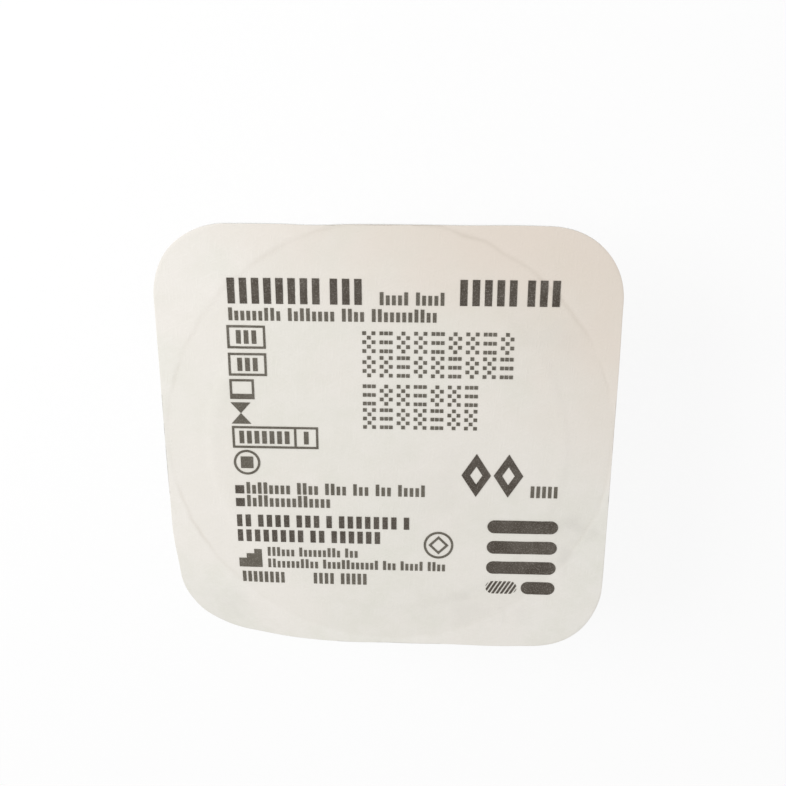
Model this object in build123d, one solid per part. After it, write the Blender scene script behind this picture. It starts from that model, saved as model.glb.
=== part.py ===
"""A sealed blister pack for a small round laboratory filter, lying lid up on the foot of its cup.

A square paper lid with rounded corners is heat-sealed to the flange of a thermoformed tray. Below the
flange the tray is a round cup, which narrows to a well with a flat foot. One corner of the lid and
flange is bent down. The sealed pack is one solid. The print on the lid is thin fields of ink: blocks in
place of letters, frames, rings, dots and bars.

Origin: on the surface that the pack stands on, below the middle of the lid. +Z is up, out of the printed
face, and +Y points to the top of the print. Millimetres and degrees.
"""
from build123d import *
from math import cos, degrees, hypot, radians, sin, tan
import os

# Lid and flange, both die-cut to one outline
lid_corner_radius = 8.0
lid_paper = 0.25
flange_sheet = 0.5
pack_height = 27.0  # from the foot to the lid's printed face

# Heat seal: a round land about the cup's mouth, which ends just inside the lid's straight edges
seal_width = 4.7
seal_margin = 0.3
seal_press = 0.03

# Corner bent down, as a cylinder that starts just outside the cup
bend_heading = -126.0  # towards the bent corner, from +X
bend_clear = 0.2
bend_radius = 23.3

# Cup, ledge, well and foot
mouth_diameter = 40.0
mouth_fillet = 0.8
cup_draft = 5.0
cup_depth = 13.5  # from the flange's underside to the ledge
ledge_round = 2.0
well_diameter = 24.0  # at the ledge
well_fillet = 1.5
well_draft = 6.0
foot_round = 1.5

# Print, placed from its top left corner
ink = 0.06
print_margin_left = 7.7
print_margin_top = 5.7
block_share = 0.6  # of a letter's pitch
stroke = 0.25  # of frames and rings

heading_cap = 2.8
heading_pitch = 1.3
heading_gap = 0.6
heading_indent = 0.3
heading_space = 1.4  # between heavy and light words of the first line
heading_words = ((8, 3), (5, 3))
subtitle_words = ((5, 5), (9, 8, 4, 11))

text_cap = 1.4
text_low = 1.05
text_pitch = 0.65
text_gap = 0.6
text_words = ((8, 4, 4, 3, 3, 5), (15,))
last_words = ((8,), (4, 5))
last_space = 3.2  # between the last row's two parts
number_words = (5,)

bold_cap = 1.5
bold_pitch = 1.0
bold_gap = 0.45
bold_words = ((2, 4, 3, 1, 7, 1), (8, 2, 6))
bullet_side = 1.0
bullet_gap = 0.3

small_cap = 1.15
small_low = 0.85
small_pitch = 0.55
small_gap = 0.4
small_words = ((6, 9, 3), (11, 12, 3, 5, 4))

field_height = 2.6
field_width = 4.2
field_letters = 3
field_pitch = 0.85
long_field_letters = 7
long_field_space = 0.55  # either side of the blocks in the long field
end_field_width = 2.2

symbol_width = 2.7
framed_symbol_height = 2.3
framed_symbol_foot = 0.6
triangle_width = 2.2
triangles_height = 2.5
symbol_ring_radius = 1.5
symbol_square = 1.4
notice_ring_radius = 1.7
notice_diamond = 2.3
notice_space = 1.3
stair_step = 0.9
stair_rise = 0.6
stair_space = 0.7

code_left = 14.7
code_dot = 0.4
code_dot_pitch = 0.5
code_dot_columns = 3
code_dot_rows = 5
code_cell_pitch = 1.86
code_cells = (9, 9, 7, 7)
code_top_space = 1.05  # below the second line of text
code_row_space = 0.35
code_pair_space = 0.85

diamond_left = 25.7
diamond_width = 3.3
diamond_height = 5.2
diamond_stroke = 0.8
diamond_space = 0.3
diamond_top_space = 2.8  # below the code
number_space = 0.9

emblem_left = 28.8
emblem_top_space = 2.9  # below the diamonds
emblem_bar_length = 8.0
emblem_bar_width = 1.6
emblem_bar_space = 1.0
emblem_whole_bars = 3
hatch_bar_length = 3.6
hatch_bar_gap = 0.5
hatch_width = 0.25
hatch_pitch = 0.5
hatch_slant = 30.0

# The rows of the left column from the top: their heights, and the spaces above them
left_column = {
    "heading": (heading_cap, 0),
    "subtitle": (text_cap, 0.45),
    "first_field": (field_height, 0.55),
    "second_field": (field_height, 0.5),
    "framed_symbol": (framed_symbol_height, 0.4),
    "triangles": (triangles_height, 0.4),
    "long_field": (field_height, 0.3),
    "symbol_ring": (2 * symbol_ring_radius, 0.25),
    "first_text": (text_cap, 0.95),
    "second_text": (text_cap, 0.2),
    "first_bold": (bold_cap, 1.05),
    "second_bold": (bold_cap, 0.4),
    "first_small": (small_cap, 0.7),
    "second_small": (small_cap, 0.35),
    "last": (text_cap, 0.6),
}

# Worked out
mouth_radius = mouth_diameter / 2
seal_radius = mouth_radius + seal_width
half = seal_radius + seal_margin
sheet = lid_paper + flange_sheet
flange_underside = pack_height - sheet
ledge_height = flange_underside - cup_depth
along_x = cos(radians(bend_heading))
along_y = sin(radians(bend_heading))
corner_centre = half - lid_corner_radius
corner_tip = corner_centre * (abs(along_x) + abs(along_y)) + lid_corner_radius
bend_start = mouth_radius + mouth_fillet + bend_clear
bend_turn = degrees((corner_tip - bend_start) / bend_radius) + 10
clear = 1.0  # that cutting tools run past the solid
reach = 4 * half  # of sections that are cut down to the lid

base = {}
drop = 0
for row, (row_height, space_above) in left_column.items():
    drop -= space_above + row_height
    base[row] = drop
code_height = (code_dot_rows - 1) * code_dot_pitch + code_dot


def bent_sheet(low, high):
    """The layer from low to high above the lid's printed face: flat, then bent down as a cylinder."""
    centre = (bend_start, pack_height - bend_radius)
    upper_arc = CenterArc(centre, bend_radius + high, 90, -bend_turn)
    lower_arc = CenterArc(centre, bend_radius + low, 90, -bend_turn)
    outline = [
        Line((-reach, pack_height + high), upper_arc @ 0),
        upper_arc,
        Line(upper_arc @ 1, lower_arc @ 1),
        lower_arc,
        Line(lower_arc @ 0, (-reach, pack_height + low)),
        Line((-reach, pack_height + low), (-reach, pack_height + high)),
    ]
    section_plane = Plane(origin=(0, 0, 0), x_dir=(along_x, along_y, 0), z_dir=(along_y, -along_x, 0))
    section = make_face(Curve() + outline)
    return extrude(section_plane * section, reach, both=True)


def bent_place(x, y):
    """Where a point of the flat sheet lies in plan once its corner is bent down."""
    past = max(x * along_x + y * along_y - bend_start, 0)
    shift = bend_radius * sin(past / bend_radius) - past
    return (x + shift * along_x, y + shift * along_y)


def lid_column():
    """Everything above and below the lid's outline, which is drawn with its corner already bent."""
    left_bend = (bend_start + half * along_x) / along_y
    bottom_bend = (bend_start + half * along_y) / along_x
    left_run = -corner_centre - left_bend
    bottom_run = -corner_centre - bottom_bend
    side_shares = (0.3, 0.6, 0.9)
    turns = [radians(180 + 90 * share) for share in (0.15, 0.35, 0.5, 0.65, 0.85)]
    left_side = [(-half, left_bend + share * left_run) for share in side_shares]
    round_side = [
        (lid_corner_radius * cos(turn) - corner_centre, lid_corner_radius * sin(turn) - corner_centre)
        for turn in turns
    ]
    bottom_side = [(bottom_bend + share * bottom_run, -half) for share in reversed(side_shares)]
    bent_points = [bent_place(x, y) for x, y in left_side + round_side + bottom_side]
    bent_edge = Spline(
        [(-half, left_bend), *bent_points, (bottom_bend, -half)],
        tangents=[(0, -1), (1, 0)],
    )
    straight_edges = FilletPolyline(
        [(bottom_bend, -half), (half, -half), (half, half), (-half, half), (-half, left_bend)],
        radius=lid_corner_radius,
    )
    return extrude(make_face(Curve() + [bent_edge, straight_edges]), pack_height + clear)


def seal_column():
    """The ring of the heat seal, as a tall tube."""
    height = 2 * pack_height
    tube = Cylinder(seal_radius, height) - Cylinder(mouth_radius, height)
    return Pos(0, 0, pack_height) * tube


def cup():
    """Cup, ledge, well and foot, turned from one section that reaches a little way into the flange."""
    collar_radius = mouth_radius + mouth_fillet + bend_clear
    inside = flange_underside + flange_sheet / 2
    ledge_radius = mouth_radius - cup_depth * tan(radians(cup_draft))
    well_radius = well_diameter / 2
    foot_radius = well_radius - ledge_height * tan(radians(well_draft))
    wall = FilletPolyline(
        [
            (collar_radius, flange_underside),
            (mouth_radius, flange_underside),
            (ledge_radius, ledge_height),
            (well_radius, ledge_height),
            (foot_radius, 0),
            (0, 0),
        ],
        radius=[mouth_fillet, ledge_round, well_fillet, foot_round],
    )
    back = Polyline(
        (0, 0),
        (0, inside),
        (collar_radius, inside),
        (collar_radius, flange_underside),
    )
    return revolve(Plane.XZ * make_face(Curve() + [wall, back]), Axis.Z)


def blister_pack():
    """The sealed pack: lid and flange with their bent corner and pressed seal land, and the cup below."""
    lid = lid_column() & bent_sheet(-sheet, 0)
    pressed = seal_column() & bent_sheet(-seal_press, clear)
    return lid + cup() - pressed


def ink_layer():
    """A skin of ink over the whole lid, which follows its bend and the step of the seal land."""
    free = bent_sheet(0, ink) - seal_column()
    on_seal = bent_sheet(-seal_press, ink - seal_press) & seal_column()
    return (free + on_seal) & lid_column()


def field(left, bottom, width, height):
    """A filled rectangle, from its lower left corner."""
    return Pos(left + width / 2, bottom + height / 2) * Rectangle(width, height)


def frame(left, bottom, width, height):
    """A rectangular frame, from its lower left corner."""
    outer = Rectangle(width, height)
    inner = Rectangle(width - 2 * stroke, height - 2 * stroke)
    return Pos(left + width / 2, bottom + height / 2) * (outer - inner)


def ring(x, y, radius):
    """A ring about a point."""
    return Pos(x, y) * (Circle(radius) - Circle(radius - stroke))


def diamond(x, y, width, height, band):
    """An open diamond about a point, with the same band all round."""
    inset = 2 * band * hypot(width, height)
    inner_width = width - inset / height
    inner_height = height - inset / width
    corners = ((0.5, 0), (0, 0.5), (-0.5, 0), (0, -0.5))
    outer = make_face(Polyline([(x + a * width, y + b * height) for a, b in corners], close=True))
    inner_corners = [(x + a * inner_width, y + b * inner_height) for a, b in corners]
    return outer - make_face(Polyline(inner_corners, close=True))


def words(left, bottom, letters, pitch, gap, cap, low=None):
    """Blocks in place of letters, one word after another. A word's first block and a few more are tall."""
    blocks = []
    for count in letters:
        for letter in range(count):
            tall = low is None or letter == 0 or (letter * 5 + count) % 7 in (2, 4)
            block_height = cap if tall else low
            blocks.append(field(left + letter * pitch, bottom, pitch * block_share, block_height))
        left += count * pitch + gap
    return blocks


def words_end(left, letters, pitch, gap):
    """Where a row of words ends."""
    return left + sum(letters) * pitch + (len(letters) - 1) * gap


def heavy_words(left, letters):
    """Heading words on the first line."""
    return words(left, base["heading"], letters, heading_pitch, heading_gap, heading_cap)


def light_words(left, bottom, letters):
    """Light words of capitals and low letters."""
    return words(left, bottom, letters, text_pitch, text_gap, text_cap, text_low)


def text_capitals(left, bottom, letters):
    """Light words of capitals only."""
    return words(left, bottom, letters, text_pitch, text_gap, text_cap)


def bold_blocks(left, bottom, letters):
    """Bold words of capitals."""
    return words(left, bottom, letters, bold_pitch, bold_gap, bold_cap)


def small_type(left, bottom, letters):
    """Words in small type."""
    return words(left, bottom, letters, small_pitch, small_gap, small_cap, small_low)


first_heading_end = words_end(heading_indent, heading_words[0], heading_pitch, heading_gap)
beside_heading = first_heading_end + heading_space
beside_heading_end = words_end(beside_heading, subtitle_words[0], text_pitch, text_gap)
last_middle = words_end(heading_indent, last_words[0], text_pitch, text_gap) + last_space
bullet_indent = bullet_side + bullet_gap
stair_width = 3 * stair_step
small_indent = stair_width + stair_space
code_tops = [base["subtitle"] - code_top_space]
for space in (code_row_space, code_pair_space, code_row_space):
    code_tops.append(code_tops[-1] - code_height - space)
diamond_bottom = code_tops[-1] - code_height - diamond_top_space - diamond_height
diamond_end = diamond_left + 2 * diamond_width + diamond_space
emblem_top = diamond_bottom - emblem_top_space


def heading_marks():
    """The heavy words of the first line."""
    second_heading = beside_heading_end + heading_space
    return heavy_words(heading_indent, heading_words[0]) + heavy_words(second_heading, heading_words[1])


def text_marks():
    """The light words: beside the heading, on the second line, by the bullets, and in small type."""
    return [
        *light_words(beside_heading, base["heading"], subtitle_words[0]),
        *light_words(heading_indent, base["subtitle"], subtitle_words[1]),
        *light_words(bullet_indent, base["first_text"], text_words[0]),
        *light_words(bullet_indent, base["second_text"], text_words[1]),
        *small_type(small_indent, base["first_small"], small_words[0]),
        *small_type(small_indent, base["second_small"], small_words[1]),
        *text_capitals(heading_indent, base["last"], last_words[0]),
        *text_capitals(last_middle, base["last"], last_words[1]),
        *text_capitals(diamond_end + number_space, diamond_bottom, number_words),
    ]


def bold_marks():
    """Two square bullets and two bold lines."""
    return [
        *[field(0, base[row], bullet_side, bullet_side) for row in ("first_text", "second_text")],
        *bold_blocks(0, base["first_bold"], bold_words[0]),
        *bold_blocks(0, base["second_bold"], bold_words[1]),
    ]


def field_blocks(left, bottom, count):
    """Blocks inside a framed field."""
    return words(left, bottom, (count,), field_pitch, 0, bold_cap)


def field_marks():
    """Three framed fields down the left side, with blocks inside. A line divides the long one."""
    rise = (field_height - bold_cap) / 2
    block = block_share * field_pitch
    blocks_width = (field_letters - 1) * field_pitch + block
    marks = []
    for row in ("first_field", "second_field"):
        marks.append(frame(0, base[row], field_width, field_height))
        marks += field_blocks((field_width - blocks_width) / 2, base[row] + rise, field_letters)
    low = base["long_field"]
    long_blocks = (long_field_letters - 1) * field_pitch + block
    divider_left = stroke + long_blocks + 2 * long_field_space
    divider = field(divider_left, low + stroke, stroke, field_height - 2 * stroke)
    long_width = divider_left + stroke + end_field_width + stroke
    marks.append(frame(0, low, long_width, field_height) + divider)
    marks += field_blocks(stroke + long_field_space, low + rise, long_field_letters)
    marks += field_blocks(divider_left + stroke + (end_field_width - block) / 2, low + rise, 1)
    return marks


def symbol_marks():
    """Simple symbols: a frame with a foot, two triangles tip to tip, filled rings, and a rising stair."""
    framed = frame(0, base["framed_symbol"], symbol_width, framed_symbol_height)
    foot = field(0, base["framed_symbol"], symbol_width, framed_symbol_foot)
    low = base["triangles"]
    high = low + triangles_height
    tip = (triangle_width / 2, (low + high) / 2)
    triangles = [make_face(Polyline((0, y), (triangle_width, y), tip, close=True)) for y in (low, high)]
    ring_middle = (symbol_ring_radius, base["symbol_ring"] + symbol_ring_radius)
    square = Pos(*ring_middle) * Rectangle(symbol_square, symbol_square)
    bold_end = words_end(0, bold_words[0], bold_pitch, bold_gap)
    notice_middle = (bold_end + notice_space + notice_ring_radius, base["second_bold"])
    notice_mark = diamond(*notice_middle, notice_diamond, notice_diamond, stroke)
    stair = [
        field(step * stair_step, base["second_small"], stair_step, small_cap + step * stair_rise)
        for step in range(3)
    ]
    return [
        framed + foot,
        *triangles,
        ring(*ring_middle, symbol_ring_radius),
        square,
        ring(*notice_middle, notice_ring_radius),
        notice_mark,
        Sketch() + stair,
    ]


def code_cell(left, top, kind):
    """A cell of square dots: a chequer, its opposite, or every second row."""
    marks = []
    for column in range(code_dot_columns):
        for row in range(code_dot_rows):
            lit = row % 2 == 0 if kind == 2 else (column + row) % 2 == kind
            if lit:
                low = top - row * code_dot_pitch - code_dot
                marks.append(field(left + column * code_dot_pitch, low, code_dot, code_dot))
    return marks


def code_marks():
    """Rows of dotted cells."""
    marks = []
    for number, (top, cells) in enumerate(zip(code_tops, code_cells)):
        for cell in range(cells):
            marks += code_cell(code_left + cell * code_cell_pitch, top, (cell * 2 + number) % 3)
    return marks


def diamond_marks():
    """A pair of open diamonds."""
    lefts = (diamond_left, diamond_left + diamond_width + diamond_space)
    y = diamond_bottom + diamond_height / 2
    return [
        diamond(left + diamond_width / 2, y, diamond_width, diamond_height, diamond_stroke)
        for left in lefts
    ]


def emblem_marks():
    """A stack of round-ended bars. The lowest bar's first part is hatched."""
    pitch = emblem_bar_width + emblem_bar_space
    heights = [emblem_top - emblem_bar_width / 2 - number * pitch for number in range(emblem_whole_bars + 1)]
    whole_middle = emblem_left + emblem_bar_length / 2
    whole_bar = SlotOverall(emblem_bar_length, emblem_bar_width)
    rest_length = emblem_bar_length - hatch_bar_length - hatch_bar_gap
    rest_middle = emblem_left + emblem_bar_length - rest_length / 2
    bars = [Pos(whole_middle, y) * whole_bar for y in heights[:-1]]
    bars.append(Pos(rest_middle, heights[-1]) * SlotOverall(rest_length, emblem_bar_width))
    pill = Pos(emblem_left + hatch_bar_length / 2, heights[-1])
    pill_face = pill * SlotOverall(hatch_bar_length, emblem_bar_width)
    line = Rot(0, 0, -hatch_slant) * Rectangle(hatch_width, 2 * emblem_bar_width)
    lines = int(hatch_bar_length / hatch_pitch / 2) + 1
    for number in range(-lines, lines + 1):
        bars += (pill_face & pill * Pos(number * hatch_pitch, 0) * line).faces()
    return bars


def printed(marks, layer):
    """The ink of some marks: the skin of ink inside their outlines, placed on the lid."""
    depth = bend_radius / 4
    corner = Pos(print_margin_left - half, half - print_margin_top, pack_height - depth)
    faces = [face for mark in marks for face in mark.faces()]
    columns = [extrude(corner * face, depth + clear, dir=(0, 0, 1)) for face in faces]
    return layer & Compound([solid for column in columns for solid in column.solids()])


print_nodes = {
    "heading_print": heading_marks,
    "text_print": text_marks,
    "bold_print": bold_marks,
    "field_print": field_marks,
    "symbol_print": symbol_marks,
    "code_print": code_marks,
    "diamond_print": diamond_marks,
    "emblem_print": emblem_marks,
}

os.makedirs("parts", exist_ok=True)
export_step(blister_pack(), "parts/blister_pack.step")
ink_skin = ink_layer()
for node, marks in print_nodes.items():
    export_step(printed(marks(), ink_skin), f"parts/{node}.step")
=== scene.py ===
"""Looks of a sealed blister pack: a printed paper lid, sealed to a thermoformed tray with a round cup.

The lid and the tray are surfaces of closed loops about the pack's axis, worked out with numpy: a loop is a
circle, or the lid's rounded square, or a blend of the two. The print keeps the frame's solids and gets its
ink here.
"""

import math

import bpy
import numpy as np
from mathutils import Matrix, Vector


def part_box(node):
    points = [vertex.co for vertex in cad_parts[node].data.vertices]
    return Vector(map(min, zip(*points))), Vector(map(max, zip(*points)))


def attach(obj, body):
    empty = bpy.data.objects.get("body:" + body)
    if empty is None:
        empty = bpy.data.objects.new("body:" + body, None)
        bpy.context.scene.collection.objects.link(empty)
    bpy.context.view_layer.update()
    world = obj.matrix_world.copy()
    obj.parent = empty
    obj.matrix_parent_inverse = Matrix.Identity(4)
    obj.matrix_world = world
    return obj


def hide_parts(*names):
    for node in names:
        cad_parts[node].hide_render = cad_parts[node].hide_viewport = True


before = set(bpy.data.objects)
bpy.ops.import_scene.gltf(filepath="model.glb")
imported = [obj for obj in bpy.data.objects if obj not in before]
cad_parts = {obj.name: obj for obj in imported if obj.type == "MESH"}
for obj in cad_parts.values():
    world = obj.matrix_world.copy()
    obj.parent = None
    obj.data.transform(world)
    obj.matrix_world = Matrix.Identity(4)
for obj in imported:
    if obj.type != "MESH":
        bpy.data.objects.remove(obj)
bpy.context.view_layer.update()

MM = 0.001
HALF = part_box("blister_pack")[1].x  # half of the lid's side
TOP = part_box("blister_pack")[1].z  # the lid's printed face

# Lid and flange
LID_CORNER = 8.0 * MM
PAPER = 0.25 * MM
FLANGE = 0.5 * MM
CUT_EDGE = 0.05 * MM  # how far the die rounds a cut edge
BOND = 0.01 * MM  # between the paper and the flange
BONDED_LOOPS = np.array((4.0, 12.0, 20.0, 24.0)) * MM  # the loops of the two faces that meet at the bond

# Seal, and the crease at its outer edge
SEAL_MARGIN = 0.3 * MM
SEAL_PRESS = 0.03 * MM
SEAL_PLACE = (0.2 * MM, 0.65 * MM)  # the seal's middle, a little off the lid's
SEAL_WAVER = 0.1 * MM
CREASE_WAY = math.radians(70)  # where the crease is deepest
LOW_CREASE_WAY = math.radians(207)  # the middle of a shorter stretch of crease, by the bent corner
CREASE_DEPTH = 0.03 * MM
CREASE_WIDTH = 0.22 * MM

# Slack in the paper
SLOW_WAVES = 0.009 * MM
QUICK_WAVES = 0.004 * MM
MOUTH_LIP = 0.022 * MM

# Where the cut edge strays from a true rounded square: each stray's angle and width in degrees, and how far
EDGE_STRAYS = (
    (33, 6, -0.07 * MM),
    (54, 5, -0.1 * MM),
    (72, 7, -0.05 * MM),
    (107, 5, -0.14 * MM),
    (136, 5, 0.1 * MM),
    (197, 5, -0.05 * MM),
    (213, 6.5, -0.3 * MM),
    (225.5, 3.2, 0.18 * MM),
    (236, 6, -0.27 * MM),
    (270, 8, -0.11 * MM),
    (286, 7, -0.1 * MM),
    (305, 4.5, -0.16 * MM),
    (321, 4.5, -0.12 * MM),
)

# Corner bent down
BEND_WAY = (math.cos(math.radians(-126)), math.sin(math.radians(-126)))
BEND_START = 21.0 * MM
BEND_RADIUS = 23.3 * MM

# Cup, ledge, well and foot
MOUTH = 20.0 * MM
MOUTH_FILLET = 0.8 * MM
CUP_DRAFT = math.radians(5)
CUP_DEPTH = 13.5 * MM
LEDGE_ROUND = 2.0 * MM
WELL = 12.0 * MM
WELL_FILLET = 1.5 * MM
WELL_DRAFT = math.radians(6)
FOOT_ROUND = 1.5 * MM
WALL_WAVER = 0.035 * MM
WALL_STEP = 1.0 * MM  # the most between two loops of a wall
ARC_LOOPS = 9  # for each round of a wall

# Dirt rubbed onto the paper, and patches of painted shade: the place of each patch, how far it reaches, and
# how heavy it is
SMUDGES_AND_SHADE = (
    (21.3 * MM, -9.6 * MM, 3.0 * MM, 1.0),
    (20.6 * MM, -13.2 * MM, 2.0 * MM, 0.75),
    (8.0 * MM, -18.6 * MM, 1.8 * MM, 0.75),
    (5.0 * MM, -19.6 * MM, 2.8 * MM, 0.5),
    (10.3 * MM, -21.2 * MM, 3.4 * MM, 0.5),
    (15.0 * MM, -19.8 * MM, 3.0 * MM, 0.6),
    # painted shade on the bent corner
    (-19.5 * MM, -20.6 * MM, 4.5 * MM, 0.5),
    # painted shade on the upper right of the seal's land, away from the light
    (17.5 * MM, 13.0 * MM, 7.0 * MM, 0.35),
    (6.0 * MM, -5.0 * MM, 9.0 * MM, 0.3),
)

# Floor and surround
FLOOR_HOLE = 10.0 * MM  # within the foot's edge
FLOOR_REACH = 3.0
FLOOR_GLOW = 0.85
WORLD_LIGHT = 0.68
WORLD_GLOW = 0.27  # what the world is brighter by as a background

# Worked out
SEAL = HALF - SEAL_MARGIN
UNDERSIDE = TOP - PAPER - FLANGE
AROUND = np.linspace(0, 2 * np.pi, 360, endpoint=False)  # the angle of each point in a loop


def smooth_step(low, high, value):
    """0 below low, 1 above high, and 3t^2 - 2t^3 between them."""
    t = np.clip((value - low) / (high - low), 0, 1)
    return t * t * (3 - 2 * t)


def bell(middle, width, value):
    """1 at the middle, falling off as exp(-(distance / width)^2)."""
    return np.exp(-(((value - middle) / width) ** 2))


def outline_radius():
    """How far the lid's outline is from the middle at each angle: a rounded square with small strays.

    With c and s the absolute cosine and sine and k = half - corner radius, a straight side is at
    half / max(c, s). Round a corner the distance d solves |d (c, s) - (k, k)| = corner radius. The strays
    are bells over the angle, added up.
    """
    c = np.abs(np.cos(AROUND))
    s = np.abs(np.sin(AROUND))
    k = HALF - LID_CORNER
    side = HALF / np.maximum(c, s)
    reach = k * (c + s)
    round_corner = reach + np.sqrt(np.maximum(reach**2 - 2 * k**2 + LID_CORNER**2, 0))
    strays = sum(far * bell(middle, width, np.degrees(AROUND)) for middle, width, far in EDGE_STRAYS)
    return np.where(side * np.minimum(c, s) > k, round_corner, side) + strays


def circles(radii):
    """Loop radii of circles, one row each."""
    return np.repeat(np.asarray(radii, float)[:, None], len(AROUND), axis=1)


def towards_outline(radius, shares):
    """Loop radii between a circle and the lid's outline: (1 - share) of one and the share of the other."""
    shares = np.asarray(shares, float)[:, None]
    return (1 - shares) * radius + shares * outline_radius()


def inset_outline(insets):
    """Loop radii of the lid's outline, moved in by each inset."""
    return outline_radius() - np.asarray(insets, float)[:, None]


def bend_corner(x, y, z):
    """The flat pack with its corner bent down round a cylinder that lies across the bend's way.

    A point p past the bend's start turns by p / radius about the cylinder's axis.
    """
    along = x * BEND_WAY[0] + y * BEND_WAY[1]
    past = np.maximum(along - BEND_START, 0)
    arm = BEND_RADIUS + z - TOP
    turn = past / BEND_RADIUS
    shift = arm * np.sin(turn) - past
    bent = past > 0
    x = np.where(bent, x + shift * BEND_WAY[0], x)
    y = np.where(bent, y + shift * BEND_WAY[1], y)
    z = np.where(bent, TOP - BEND_RADIUS + arm * np.cos(turn), z)
    return x, y, z


def loops_to_piece(name, radii, heights):
    """A closed piece from rows of loops, each row joined to the next, with a point on the axis at each end.

    Point j of row i is at (radius cos angle, radius sin angle, height), with its corner then bent down.
    The rows run over the top, down the side and back under, so the faces look out.
    """
    rows, count = radii.shape
    x, y, z = bend_corner(radii * np.cos(AROUND), radii * np.sin(AROUND), heights)
    poles = [(0, 0, heights[0].mean()), (0, 0, heights[-1].mean())]
    points = np.vstack([np.stack([x, y, z], -1).reshape(-1, 3), poles])
    row, step = np.meshgrid(np.arange(rows - 1) * count, np.arange(count), indexing="ij")
    following = (step + 1) % count
    bands = np.stack([row + step, row + count + step, row + count + following, row + following], -1)
    start = np.arange(count)
    after = (start + 1) % count
    first_cap = np.stack([np.full(count, rows * count), start, after], -1)
    last = (rows - 1) * count
    last_cap = np.stack([np.full(count, rows * count + 1), last + after, last + start], -1)
    mesh = bpy.data.meshes.new(name)
    faces = bands.reshape(-1, 4).tolist() + first_cap.tolist() + last_cap.tolist()
    mesh.from_pydata(points.tolist(), [], faces)
    mesh.polygons.foreach_set("use_smooth", np.ones(len(mesh.polygons), bool))
    mesh.update()
    piece = bpy.data.objects.new(name, mesh)
    bpy.context.scene.collection.objects.link(piece)
    return piece


def keep_shares(piece, name, shares, at_poles):
    """An attribute on a piece of loops: one number for each point, and the same one at both poles."""
    kept = piece.data.attributes.new(name, "FLOAT", "POINT")
    kept.data.foreach_set("value", np.append(shares.ravel(), (at_poles, at_poles)))


def waves(x, y, length, count, seed):
    """A gentle random surface: sine waves of about one length, in random directions, added up."""
    chance = np.random.default_rng(seed)
    way = chance.uniform(0, 2 * np.pi, count)
    number = 2 * np.pi / (length * chance.uniform(0.7, 1.5, count))
    phase = chance.uniform(0, 2 * np.pi, count)
    turns = x[..., None] * number * np.cos(way) + y[..., None] * number * np.sin(way) + phase
    return np.sin(turns).sum(-1) / math.sqrt(count)


def seal_distance(x, y):
    """How far points are from the seal's middle, plus the small random waver of the seal's edge."""
    waver = SEAL_WAVER * waves(x, y, 3.2 * MM, 8, seed=5)
    return np.hypot(x - SEAL_PLACE[0], y - SEAL_PLACE[1]) + waver


def sealed_share(x, y):
    """1 inside the seal's outer edge and 0 on the loose paper outside it."""
    return 1 - smooth_step(SEAL - 0.4 * MM, SEAL + 0.6 * MM, seal_distance(x, y))


def crease_share(x, y):
    """How deep the crease at the seal's outer edge is, from 0 to 1.

    A bell across the edge, times a strength that grows with the cosine of the angle to the crease's way,
    and again to the low crease's, and comes and goes with slow random waves.
    """
    angle = np.arctan2(y, x)
    towards = np.cos(angle - CREASE_WAY)
    strength = 0.15 + 0.25 * smooth_step(-0.6, 0.2, towards) + 0.6 * smooth_step(0.6, 0.95, towards)
    strength = strength + 0.55 * smooth_step(0.93, 0.98, np.cos(angle - LOW_CREASE_WAY))
    uneven = np.clip(0.7 + 0.4 * waves(x, y, 6 * MM, 7, seed=12), 0.15, 1)
    return strength * uneven * bell(SEAL, CREASE_WIDTH, seal_distance(x, y))


def paper_relief(x, y):
    """How far the paper stands above its nominal face.

    The sum of slow and quick random waves, the land that the seal presses down, the crease at the land's
    outer edge, and a soft lip where the paper crosses the cup's mouth.
    """
    r = np.hypot(x, y)
    slack = SLOW_WAVES * waves(x, y, 14 * MM, 9, seed=3) + QUICK_WAVES * waves(x, y, 5 * MM, 14, seed=8)
    land = smooth_step(MOUTH - 0.25 * MM, MOUTH + 0.6 * MM, r) * sealed_share(x, y)
    lip = MOUTH_LIP * bell(MOUTH - 0.6 * MM, 0.7 * MM, r)
    return slack - SEAL_PRESS * land - CREASE_DEPTH * crease_share(x, y) + lip


def paper_lid():
    """The paper lid: from the middle of its printed face, over its cut edge, back to the middle below.

    Its loops are closest at the cup's mouth and at the seal's edge. Each point also keeps how far it is
    sealed and creased, for the paper's finish to read.
    """
    printed = np.concatenate([
        np.linspace(0.4 * MM, MOUTH - 1.4 * MM, 26),
        np.linspace(MOUTH - 1.2 * MM, MOUTH + 0.4 * MM, 11),
        np.linspace(MOUTH + 0.8 * MM, HALF - 1.6 * MM, 8),
        np.linspace(HALF - 1.5 * MM, HALF - 0.3 * MM, 13),
    ])
    free_shares = np.linspace(0, 1, 28)[1:-1] ** 1.3
    edge_insets = (CUT_EDGE, 0.3 * CUT_EDGE, 0, 0, CUT_EDGE)
    edge_depths = (0, 0.3 * CUT_EDGE, CUT_EDGE, PAPER - CUT_EDGE, PAPER)
    below = BONDED_LOOPS[::-1]
    radii = np.vstack([
        circles(printed),
        towards_outline(printed[-1], free_shares),
        inset_outline(edge_insets),
        circles(below),
    ])
    on_top = np.zeros(len(printed) + len(free_shares))
    depths = np.concatenate([on_top, edge_depths, np.full(len(below), PAPER)])[:, None]
    x = radii * np.cos(AROUND)
    y = radii * np.sin(AROUND)
    heights = TOP - depths + paper_relief(x, y) * (1 - depths / PAPER)
    piece = loops_to_piece("paper_lid", radii, heights)
    keep_shares(piece, "sealed", sealed_share(x, y), at_poles=1)
    keep_shares(piece, "creased", crease_share(x, y), at_poles=0)
    return piece


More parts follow.
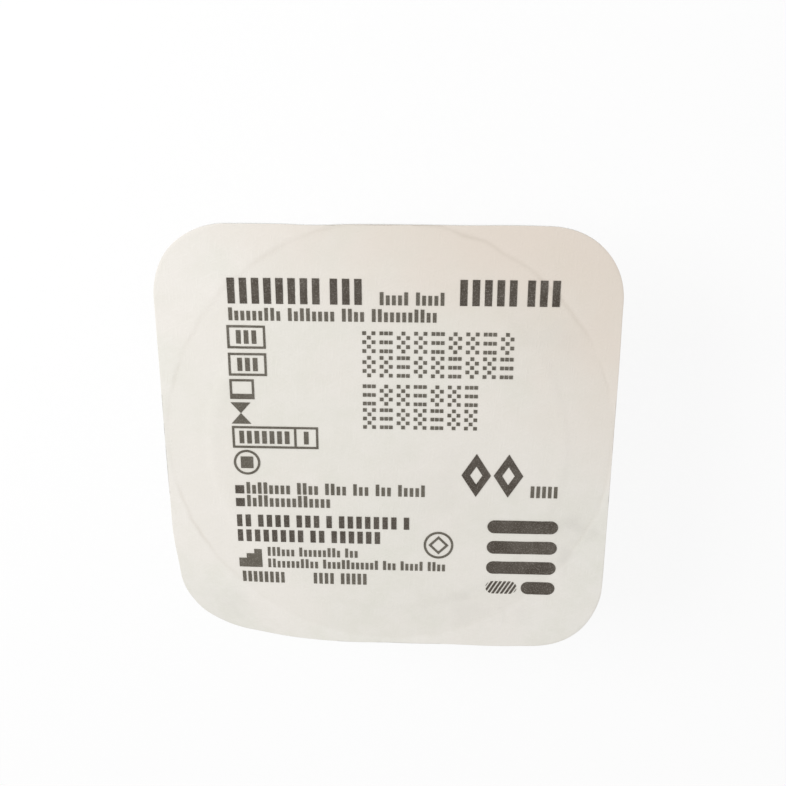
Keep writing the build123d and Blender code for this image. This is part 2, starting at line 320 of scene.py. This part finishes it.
def rounded(corners, rounds):
    """A path through corner points, with an arc of the given radius in place of each inner corner.

    The arc's centre is on the line that halves the corner, at radius / sin(half angle) from it, and its
    points turn evenly from one tangent point to the other.
    """
    path = [np.array(corners[0])]
    for before, corner, after, radius in zip(corners, corners[1:], corners[2:], rounds):
        back = np.subtract(before, corner) / math.dist(before, corner)
        ahead = np.subtract(after, corner) / math.dist(after, corner)
        half_angle = math.acos(back @ ahead) / 2
        centre = corner + (back + ahead) / np.linalg.norm(back + ahead) * radius / math.sin(half_angle)
        start = corner + back * radius / math.tan(half_angle) - centre
        end = corner + ahead * radius / math.tan(half_angle) - centre
        sweep = math.pi - 2 * half_angle
        shares = np.linspace(0, 1, ARC_LOOPS)[:, None]
        arms = np.sin((1 - shares) * sweep) * start + np.sin(shares * sweep) * end
        path.extend(centre + arms / math.sin(sweep))
    path.append(np.array(corners[-1]))
    return np.array(path)


def divided(path, longest):
    """The path with points added along its runs, so that none is longer than the given length."""
    runs = [path[:1]]
    for start, end in zip(path, path[1:]):
        pieces = math.ceil(math.dist(start, end) / longest)
        runs.append(start + (end - start) * np.arange(1, pieces + 1)[:, None] / pieces)
    return np.vstack(runs)


def plastic_tray():
    """The tray: its flange under the paper, and the cup's wall, ledge, well and foot below.

    The cup's and the well's walls waver in and out a little with slow random waves, as a drawn sheet does.
    The waves are read at places that shift with the height, so that they change down a wall. They fade out
    towards the flange and towards the foot.
    """
    ledge_height = UNDERSIDE - CUP_DEPTH
    collar = MOUTH + MOUTH_FILLET + 0.1 * MM
    ledge = MOUTH - CUP_DEPTH * math.tan(CUP_DRAFT)
    foot = WELL - ledge_height * math.tan(WELL_DRAFT)
    corners = [
        (collar, UNDERSIDE),
        (MOUTH, UNDERSIDE),
        (ledge, ledge_height),
        (WELL, ledge_height),
        (foot, 0),
        (0, 0),
    ]
    wall = rounded(corners, [MOUTH_FILLET, LEDGE_ROUND, WELL_FILLET, FOOT_ROUND])
    wall = divided(wall, WALL_STEP)[:-1]
    edge_insets = (CUT_EDGE, 0, 0, CUT_EDGE)
    edge_depths = (BOND, BOND + CUT_EDGE, FLANGE - CUT_EDGE, FLANGE)
    under_shares = (0.9, 0.75, 0.6, 0.45, 0.3, 0.15)
    radii = np.vstack([
        circles(BONDED_LOOPS),
        inset_outline(edge_insets),
        towards_outline(collar, under_shares),
        circles(wall[:, 0]),
    ])
    bonded = np.full(len(BONDED_LOOPS), BOND)
    depths = np.concatenate([bonded, edge_depths, np.full(len(under_shares), FLANGE)])
    heights = circles(np.concatenate([TOP - PAPER - depths, wall[:, 1]]))
    x = radii * np.cos(AROUND) + 0.5 * heights
    y = radii * np.sin(AROUND) - 0.4 * heights
    above_foot = smooth_step(0, 3 * MM, heights)
    below_flange = 1 - smooth_step(UNDERSIDE - 3 * MM, UNDERSIDE - MOUTH_FILLET, heights)
    waver = WALL_WAVER * waves(x, y, 11 * MM, 9, seed=21) * above_foot * below_flange
    return loops_to_piece("plastic_tray", radii + waver, heights)


class Nodes:
    """A node tree with short calls. A node's input is given a value or another node's output."""

    def __init__(self, tree):
        self.tree = tree

    def join(self, value, socket):
        """Links an output to a socket, or sets the socket to a value."""
        if isinstance(value, bpy.types.NodeSocket):
            self.tree.links.new(value, socket)
        else:
            socket.default_value = value

    def add(self, kind, inputs, **settings):
        """A node of a kind, with its settings and inputs."""
        node = self.tree.nodes.new(kind)
        for name, value in settings.items():
            setattr(node, name, value)
        for name, value in inputs.items():
            self.join(value, node.inputs[name])
        return node

    def number(self, operation, first, second):
        """What an operation makes of two numbers."""
        return self.add("ShaderNodeMath", {0: first, 1: second}, operation=operation).outputs[0]

    def sum(self, first, second):
        """Two numbers added."""
        return self.number("ADD", first, second)

    def less(self, first, second):
        """The first number less the second."""
        return self.number("SUBTRACT", first, second)

    def times(self, first, second):
        """Two numbers multiplied."""
        return self.number("MULTIPLY", first, second)

    def larger(self, first, second):
        """The larger of two numbers."""
        return self.number("MAXIMUM", first, second)

    def vector(self, operation, *values, result="Vector"):
        """What an operation makes of vectors: a vector, or a number where the result is Value."""
        inputs = dict(enumerate(values))
        return self.add("ShaderNodeVectorMath", inputs, operation=operation).outputs[result]

    def along(self, place, way):
        """How far a place is along a way."""
        return self.vector("DOT_PRODUCT", place, way, result="Value")

    def near(self, place, point, reach):
        """1 at a point, falling smoothly to 0 at its reach."""
        apart = self.vector("DISTANCE", place, point, result="Value")
        return self.less(1.0, self.step(apart, 0.0, reach))

    def step(self, value, low, high):
        """0 below low and 1 above high, smoothly."""
        inputs = {"Value": value, "From Min": low, "From Max": high}
        return self.add("ShaderNodeMapRange", inputs, interpolation_type="SMOOTHSTEP").outputs["Result"]

    def mix(self, share, first, second):
        """A share of the second colour in the first."""
        return self.add("ShaderNodeMix", {0: share, 6: first, 7: second}, data_type="RGBA").outputs[2]

    def noise(self, place, scale, detail, roughness=0.5):
        """A noise's value, about 0.5 on the whole."""
        inputs = {"Vector": place, "Scale": scale, "Detail": detail, "Roughness": roughness}
        return self.add("ShaderNodeTexNoise", inputs).outputs["Fac"]

    def bump(self, height, distance):
        """The normal of a surface with fine heights, at half strength."""
        inputs = {"Height": height, "Distance": distance, "Strength": 0.5}
        return self.add("ShaderNodeBump", inputs).outputs["Normal"]

    def place(self):
        """The place of each point in the piece."""
        return self.add("ShaderNodeTexCoord", {}).outputs["Object"]

    def flattened(self, place):
        """The place of each point with its height left out."""
        return self.add("ShaderNodeMapping", {"Vector": place, "Scale": (1, 1, 0)}).outputs["Vector"]

    def kept(self, name):
        """An attribute that a piece keeps at each point."""
        return self.add("ShaderNodeAttribute", {}, attribute_name=name).outputs["Fac"]

    def grained(self, fibres, place):
        """The outputs of the group for paper's fibres."""
        return self.add("ShaderNodeGroup", {"Place": place}, node_tree=fibres).outputs


def screen_colour(red, green, blue):
    """A linear colour from the eight-bit values that a screen shows."""
    shares = np.array([red, green, blue]) / 255
    linear = np.where(shares <= 0.04045, shares / 12.92, ((shares + 0.055) / 1.055) ** 2.4)
    return (*linear.tolist(), 1.0)


def paper_fibres():
    """A node group for paper: a cloudy mottle, and short fibres that cross in three directions."""
    group = bpy.data.node_groups.new("paper_fibres", "ShaderNodeTree")
    group.interface.new_socket("Place", in_out="INPUT", socket_type="NodeSocketVector")
    for name in ("Mottle", "Fibres"):
        group.interface.new_socket(name, in_out="OUTPUT", socket_type="NodeSocketFloat")
    nodes = Nodes(group)
    place = nodes.add("NodeGroupInput", {}).outputs["Place"]
    mottle = nodes.noise(place, scale=420.0, detail=5.0, roughness=0.6)
    fibres = 0.0
    for turn in (0.4, 1.5, 2.6):
        inputs = {"Vector": place, "Rotation": (0, 0, turn), "Scale": (7, 1, 1)}
        drawn_out = nodes.add("ShaderNodeMapping", inputs, vector_type="TEXTURE").outputs["Vector"]
        strands = nodes.noise(drawn_out, scale=5200.0, detail=2.0)
        fibres = nodes.larger(fibres, nodes.step(strands, 0.48, 0.72))
    nodes.add("NodeGroupOutput", {"Mottle": mottle, "Fibres": fibres})
    return group


def new_finish(name):
    """A material with one Principled shader: the material, its nodes, and the shader."""
    material = bpy.data.materials.new(name)
    material.use_nodes = True
    material.node_tree.nodes.clear()
    nodes = Nodes(material.node_tree)
    shader = nodes.add("ShaderNodeBsdfPrincipled", {})
    nodes.add("ShaderNodeOutputMaterial", {"Surface": shader.outputs["BSDF"]})
    return material, nodes, shader


def plain_paper(nodes, grain, blotches):
    """Warm white, with a cloudy mottle, warmer blotches and paler fibres."""
    cloud = nodes.step(grain["Mottle"], 0.3, 0.7)
    base = nodes.mix(cloud, screen_colour(227, 225, 216), screen_colour(232, 229, 222))
    base = nodes.mix(nodes.times(blotches, 0.5), base, screen_colour(236, 230, 224))
    return nodes.mix(nodes.times(grain["Fibres"], 0.1), base, screen_colour(250, 247, 242))


def with_seal(nodes, base, place, radius, sealed):
    """The paper a little greyer inside the seal, with a painted highlight that makes the left of its land
    whiter, on the side towards the light.
    """
    base = nodes.mix(nodes.times(sealed, 0.2), base, screen_colour(214, 209, 199))
    highlit_band = nodes.times(sealed, nodes.step(radius, MOUTH - 2.5 * MM, MOUTH + 0.5 * MM))
    left = nodes.step(nodes.along(place, (-1, -0.2, 0)), 4 * MM, 20 * MM)
    # Painted highlight: the land is whiter on its left, the side towards the light.
    return nodes.mix(nodes.times(nodes.times(highlit_band, left), 0.13), base, screen_colour(244, 240, 234))


def with_warm_corner(nodes, base, place, blotches):
    """The paper warmer and darker towards one corner, with an uneven front."""
    front = nodes.sum(nodes.along(place, (0.5, 0.85, 0)), nodes.times(blotches, 3 * MM))
    warming = nodes.step(front, 8 * MM, 32 * MM)
    return nodes.mix(nodes.times(warming, 0.7), base, screen_colour(222, 208, 194))


def with_smudges_and_shade(nodes, base, place, flat):
    """The paper with its smudges of dirt and patches of painted shade, which a noise makes ragged and
    another breaks up into specks.
    """
    noise = nodes.add("ShaderNodeTexNoise", {"Vector": flat, "Scale": 260.0, "Detail": 3.0})
    stray = nodes.vector("SUBTRACT", noise.outputs["Color"], (0.5, 0.5, 0.5))
    ragged = nodes.vector("MULTIPLY_ADD", stray, (5 * MM, 5 * MM, 0), flat)
    smudged_and_shaded = 0.0
    # Two of these patches are painted shade, on the bent corner and on the upper right of the seal's land.
    for x, y, reach, weight in SMUDGES_AND_SHADE:
        smudged_and_shaded = nodes.larger(smudged_and_shaded, nodes.times(nodes.near(ragged, (x, y, 0), reach), weight))
    specks = nodes.step(nodes.noise(place, scale=330.0, detail=4.0), 0.3, 0.65)
    return nodes.mix(nodes.times(nodes.times(smudged_and_shaded, specks), 0.42), base, screen_colour(203, 200, 193))


def sealing_paper(fibres):
    """Sealing paper: warm white, mottled and fibrous, and smoother on the seal's land.

    Towards one corner it is warmer and darker. It has smudges of dirt and patches of painted shade,
    and dirt with painted shade darkens the crease at the seal's edge.
    """
    material, nodes, shader = new_finish("sealing_paper")
    place = nodes.place()
    flat = nodes.flattened(place)
    radius = nodes.vector("LENGTH", flat, result="Value")
    sealed = nodes.kept("sealed")
    grain = nodes.grained(fibres, place)
    blotches = nodes.step(nodes.noise(place, scale=95.0, detail=3.0), 0.36, 0.64)
    base = plain_paper(nodes, grain, blotches)
    base = with_seal(nodes, base, place, radius, sealed)
    base = with_warm_corner(nodes, base, place, blotches)
    base = with_smudges_and_shade(nodes, base, place, flat)
    # Dirt and painted shade in the crease at the seal's edge: darker where the crease is deeper.
    base = nodes.mix(nodes.times(nodes.kept("creased"), 0.32), base, screen_colour(196, 186, 173))
    nodes.join(base, shader.inputs["Base Color"])
    land = nodes.times(sealed, nodes.step(radius, MOUTH - 0.4 * MM, MOUTH + 0.4 * MM))
    nodes.join(nodes.less(0.86, nodes.times(land, 0.12)), shader.inputs["Roughness"])
    height = nodes.sum(grain["Fibres"], nodes.times(grain["Mottle"], 1.5))
    nodes.join(nodes.bump(height, 0.02 * MM), shader.inputs["Normal"])
    return material


def ink_on_paper(name, fibres, tone):
    """Ink on fibrous paper: it is uneven, and the fibres leave pale pinholes in it."""
    material, nodes, shader = new_finish(name)
    shader.inputs["Specular IOR Level"].default_value = 0.2
    place = nodes.place()
    grain = nodes.grained(fibres, place)
    pinholes = nodes.step(nodes.noise(place, scale=6500.0, detail=3.0, roughness=0.7), 0.48, 0.74)
    thin = nodes.step(grain["Mottle"], 0.3, 0.75)
    worn = nodes.mix(nodes.times(thin, 0.12), screen_colour(*tone), screen_colour(170, 164, 155))
    worn = nodes.mix(nodes.times(pinholes, 0.28), worn, screen_colour(205, 199, 190))
    nodes.join(worn, shader.inputs["Base Color"])
    nodes.join(nodes.sum(0.6, nodes.times(pinholes, 0.2)), shader.inputs["Roughness"])
    nodes.join(nodes.bump(grain["Fibres"], 0.015 * MM), shader.inputs["Normal"])
    return material


def milky_plastic():
    """Milky thermoformed plastic: satin and slightly cloudy, and whiter where the sheet was drawn down.

    It has a formed sheet's fine orange peel, faint draw lines down its walls, and soft scuffs low down.
    """
    material, nodes, shader = new_finish("milky_plastic")
    shader.inputs["Subsurface Weight"].default_value = 0.25
    shader.inputs["Subsurface Radius"].default_value = (1.0, 0.95, 0.9)
    shader.inputs["Subsurface Scale"].default_value = 1.5 * MM
    place = nodes.place()
    cloud = nodes.step(nodes.noise(place, scale=120.0, detail=4.0), 0.3, 0.7)
    drawn = nodes.add("ShaderNodeMapping", {"Vector": place, "Scale": (1, 1, 0.06)}).outputs["Vector"]
    lines = nodes.noise(drawn, scale=1100.0, detail=3.0, roughness=0.6)
    peel = nodes.noise(place, scale=800.0, detail=2.0)
    grain = nodes.noise(place, scale=5000.0, detail=2.0)
    scuffs = nodes.step(nodes.noise(place, scale=300.0, detail=3.0), 0.5, 0.8)
    height = nodes.add("ShaderNodeSeparateXYZ", {0: place}).outputs["Z"]
    rubbed = nodes.times(scuffs, nodes.less(1.0, nodes.step(height, 0.5 * MM, 4 * MM)))
    tone = nodes.mix(cloud, screen_colour(226, 227, 224), screen_colour(236, 236, 233))
    tone = nodes.mix(nodes.times(nodes.step(lines, 0.35, 0.65), 0.35), tone, screen_colour(242, 242, 240))
    tone = nodes.mix(nodes.times(rubbed, 0.4), tone, screen_colour(206, 205, 200))
    nodes.join(tone, shader.inputs["Base Color"])
    satin = nodes.sum(0.3, nodes.times(cloud, 0.1))
    nodes.join(nodes.sum(satin, nodes.times(scuffs, 0.08)), shader.inputs["Roughness"])
    relief = nodes.sum(nodes.sum(peel, nodes.times(lines, 0.6)), nodes.times(grain, 0.15))
    nodes.join(nodes.bump(relief, 0.05 * MM), shader.inputs["Normal"])
    return material


def seen_as_background(nodes):
    """1 for rays that show the surround: those of the camera, and those that mirror or pass through."""
    path = nodes.add("ShaderNodeLightPath", {}).outputs
    mirrored = nodes.larger(path["Is Glossy Ray"], path["Is Transmission Ray"])
    return nodes.larger(path["Is Camera Ray"], mirrored)


def floor_finish():
    """White, with a glow for the eye that leaves the pack's shadow, and clear when seen from below."""
    material, nodes, shader = new_finish("floor_white")
    shader.inputs["Base Color"].default_value = (0.94, 0.94, 0.94, 1)
    shader.inputs["Roughness"].default_value = 0.9
    glow = nodes.add("ShaderNodeEmission", {"Color": (1, 1, 1, 1), "Strength": 1.0}).outputs["Emission"]
    share = nodes.times(seen_as_background(nodes), FLOOR_GLOW)
    above = nodes.add("ShaderNodeMixShader", {0: share, 1: shader.outputs["BSDF"], 2: glow})
    clear = nodes.add("ShaderNodeBsdfTransparent", {}).outputs["BSDF"]
    from_below = nodes.add("ShaderNodeNewGeometry", {}).outputs["Backfacing"]
    inputs = {0: from_below, 1: above.outputs["Shader"], 2: clear}
    both_sides = nodes.add("ShaderNodeMixShader", inputs).outputs["Shader"]
    nodes.join(both_sides, material.node_tree.get_output_node("ALL").inputs["Surface"])
    return material


def white_floor():
    """A wide white floor: a flat ring between two circles.

    Its hole is hidden under the foot, and lets light reach the foot's face for a look from below.
    """
    angle = AROUND[::10]
    circle = np.stack([np.cos(angle), np.sin(angle), np.zeros_like(angle)], -1)
    points = np.vstack([FLOOR_HOLE * circle, FLOOR_REACH * circle])
    inner = np.arange(len(angle))
    next_inner = (inner + 1) % len(angle)
    faces = np.stack([inner, inner + len(angle), next_inner + len(angle), next_inner], -1)
    mesh = bpy.data.meshes.new("white_floor")
    mesh.from_pydata(points.tolist(), [], faces.tolist())
    mesh.materials.append(floor_finish())
    floor = bpy.data.objects.new("white_floor", mesh)
    bpy.context.scene.collection.objects.link(floor)


def key_light():
    """A soft round lamp, near and to the upper left, so that the lid's left side is a little brighter."""
    lamp = bpy.data.lights.new("key_light", "AREA")
    lamp.shape = "DISK"
    lamp.size = 0.14
    lamp.energy = 0.34
    key = bpy.data.objects.new("key_light", lamp)
    bpy.context.scene.collection.objects.link(key)
    key.location = (-0.165, 0.09, 0.22)
    key.rotation_euler = (key.location - Vector((0, 0, TOP))).to_track_quat("Z", "Y").to_euler()
    key.visible_camera = False


def pale_surround():
    """An even white world, dimmer as a light than as a background."""
    world = bpy.data.worlds.new("pale_surround")
    bpy.context.scene.world = world
    world.use_nodes = True
    world.node_tree.nodes.clear()
    nodes = Nodes(world.node_tree)
    strength = nodes.sum(WORLD_LIGHT, nodes.times(seen_as_background(nodes), WORLD_GLOW))
    surround = nodes.add("ShaderNodeBackground", {"Color": (1, 1, 1, 1), "Strength": strength})
    nodes.add("ShaderNodeOutputWorld", {"Surface": surround.outputs["Background"]})


def camera():
    """A camera above the top of the print, which looks down and a little back to the lid's middle."""
    data = bpy.data.cameras.new("camera")
    data.sensor_width = 36.0
    data.lens = 44.46
    data.clip_start = 0.005
    made = bpy.data.objects.new("camera", data)
    bpy.context.scene.collection.objects.link(made)
    made.location = Vector((5.51 * MM, 40.45 * MM, TOP + 100.6 * MM))
    aim = Vector((0.71 * MM, 6.66 * MM, TOP))
    back = (made.location - aim).normalized()
    right = Vector((0, 1, 0)).cross(back).normalized()
    made.rotation_euler = Matrix((right, back.cross(right), back)).transposed().to_euler()
    bpy.context.scene.camera = made


fibres = paper_fibres()
finished = (
    (paper_lid(), "lid_paper", sealing_paper(fibres)),
    (plastic_tray(), "tray_plastic", milky_plastic()),
)
for piece, slot, finish in finished:
    piece.data.materials.append(finish)
    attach(piece, "root")
    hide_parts("blister_pack")

dark_ink = ink_on_paper("heavy_ink", fibres, (70, 63, 55))
light_ink = ink_on_paper("thin_ink", fibres, (90, 85, 75))
thinly_inked = ("text_print", "code_print", "field_print", "symbol_print")
for node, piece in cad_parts.items():
    if node != "blister_pack":
        piece.data.materials.clear()
        piece.data.materials.append(light_ink if node in thinly_inked else dark_ink)

white_floor()
key_light()
pale_surround()
camera()
bpy.context.scene.view_settings.view_transform = "Standard"
